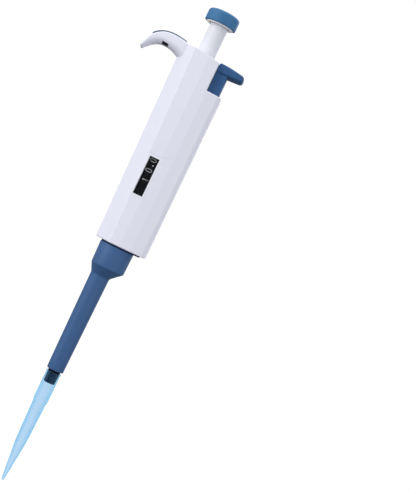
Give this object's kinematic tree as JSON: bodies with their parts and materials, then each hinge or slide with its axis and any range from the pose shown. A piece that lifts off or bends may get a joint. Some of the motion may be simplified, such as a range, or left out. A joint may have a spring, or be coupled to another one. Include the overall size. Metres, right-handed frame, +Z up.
{
  "type": "adjustable-volume micropipette",
  "caption": "Hand-held air-displacement pipette with a faceted white handle, finger hook, counter window, blue push button, blue tip ejector and a fitted translucent tip.",
  "frame": {"origin": "centre of the fitted tip's outlet, on the plunger axis", "axes": "+Z up the plunger axis to the push button, +X towards the tip ejector button, -X towards the finger hook, counter window facing -Y"},
  "size_m": [0.0658, 0.025, 0.3103],
  "materials": {
    "white_casing": "satin white moulded plastic",
    "cover_grey_blue": "satin grey-blue moulded plastic",
    "clear_lens": "clear polished plastic",
    "black_plastic": "matte black plastic",
    "dark_frame": "matte dark grey moulded plastic",
    "black_core": "polished black plastic",
    "bush_white": "low-friction white plastic",
    "seal_white": "waxy white seal plastic",
    "seal_rubber": "matte black elastomer",
    "steel": "ground stainless steel",
    "brass": "turned brass",
    "button_blue": "satin blue plastic",
    "ejector_blue": "satin slate-blue plastic",
    "tube_white": "smooth white plastic",
    "tip_blue": "translucent light-blue polypropylene"
  },
  "bodies": {
    "handle": {"handle_shell": "white_casing", "hook_cover": "cover_grey_blue", "window_lens": "clear_lens", "window_mask": "black_plastic", "top_bush": "bush_white", "neck_socket": "dark_frame", "counter_frame": "dark_frame", "counter_top_plate": "dark_frame", "counter_post": "steel", "counter_shaft": "steel", "wheel_spacers": "black_plastic", "guide_pins": "steel", "upper_bracket": "dark_frame", "ejector_guide": "dark_frame", "tip_core": "black_core", "piston_seal": "seal_white", "seal_ring": "seal_rubber", "seal_retainer": "bush_white", "return_spring": "steel", "ejector_spring": "steel"},
    "plunger": {"piston": "steel", "piston_head": "dark_frame", "thrust_ball": "steel"},
    "push_button": {"button_cap": "button_blue", "button_liner": "tube_white", "push_tube": "tube_white", "drive_rod": "steel"},
    "drive": {"drive_sleeve": "brass"},
    "nut": {"stop_nut": "bush_white"},
    "tenths": {"wheel_tenths": "black_plastic"},
    "units": {"wheel_units": "black_plastic"},
    "tens": {"wheel_tens": "black_plastic"},
    "hundreds": {"wheel_hundreds": "black_plastic"},
    "carry_upper": {"pinion_upper": "bush_white"},
    "carry_middle": {"pinion_middle": "bush_white"},
    "carry_lower": {"pinion_lower": "bush_white"},
    "ejector": {"ejector_button": "ejector_blue", "ejector_rod": "steel", "ejector_yoke": "black_plastic", "ejector_sleeve": "ejector_blue"},
    "tip": {"disposable_tip": "tip_blue"}
  },
  "joints": [
    {"name": "plunger_press", "type": "slide", "parent": "handle", "child": "plunger", "axis": [0, 0, -1], "range_m": [0, 0.016], "deforming": ["return_spring"]},
    {"name": "volume_turn", "type": "hinge", "parent": "plunger", "child": "push_button", "pos_m": [0, 0, 0.301], "axis": [0, 0, 1], "range_deg": [0, 3240]},
    {"name": "drive_turn", "type": "hinge", "parent": "handle", "child": "drive", "pos_m": [0, 0, 0.216], "axis": [0, 0, 1], "range_deg": [0, 3240]},
    {"name": "stop_nut_travel", "type": "slide", "parent": "handle", "child": "nut", "axis": [0, 0, -1], "range_m": [0, 0.0126]},
    {"name": "tenths_turn", "type": "hinge", "parent": "handle", "child": "tenths", "pos_m": [0, 0, 0.2116], "axis": [0, 0, 1], "range_deg": [0, 32400]},
    {"name": "units_turn", "type": "hinge", "parent": "handle", "child": "units", "pos_m": [0, 0, 0.20525], "axis": [0, 0, 1], "range_deg": [0, 3240]},
    {"name": "tens_turn", "type": "hinge", "parent": "handle", "child": "tens", "pos_m": [0, 0, 0.1989], "axis": [0, 0, 1], "range_deg": [0, 324]},
    {"name": "hundreds_turn", "type": "hinge", "parent": "handle", "child": "hundreds", "pos_m": [0, 0, 0.19255], "axis": [0, 0, 1], "range_deg": [0, 32.4]},
    {"name": "carry_upper_turn", "type": "hinge", "parent": "handle", "child": "carry_upper", "pos_m": [0.00929, 0.00626, 0.20843], "axis": [0, 0, 1], "range_deg": [-12636, 0]},
    {"name": "carry_middle_turn", "type": "hinge", "parent": "handle", "child": "carry_middle", "pos_m": [0.00929, 0.00626, 0.20208], "axis": [0, 0, 1], "range_deg": [-1263.6, 0]},
    {"name": "carry_lower_turn", "type": "hinge", "parent": "handle", "child": "carry_lower", "pos_m": [0.00929, 0.00626, 0.19573], "axis": [0, 0, 1], "range_deg": [-126.36, 0]},
    {"name": "ejector_press", "type": "slide", "parent": "handle", "child": "ejector", "axis": [0, 0, -1], "range_m": [0, 0.01], "deforming": ["ejector_spring"]},
    {"name": "tip_release", "type": "slide", "parent": "handle", "child": "tip", "axis": [0, 0, -1], "range_m": [0, 0.01]}
  ],
  "couplings": [
    {"joint": "drive_turn", "follows": "volume_turn", "ratio": 1},
    {"joint": "stop_nut_travel", "follows": "volume_turn", "m_per_rad": 0.00022282},
    {"joint": "tenths_turn", "follows": "volume_turn", "ratio": 10},
    {"joint": "units_turn", "follows": "volume_turn", "ratio": 1},
    {"joint": "tens_turn", "follows": "volume_turn", "ratio": 0.1},
    {"joint": "hundreds_turn", "follows": "volume_turn", "ratio": 0.01},
    {"joint": "carry_upper_turn", "follows": "volume_turn", "ratio": -3.9},
    {"joint": "carry_middle_turn", "follows": "volume_turn", "ratio": -0.39},
    {"joint": "carry_lower_turn", "follows": "volume_turn", "ratio": -0.039},
    {"joint": "tip_release", "follows": "ejector_press", "ratio": 1}
  ]
}
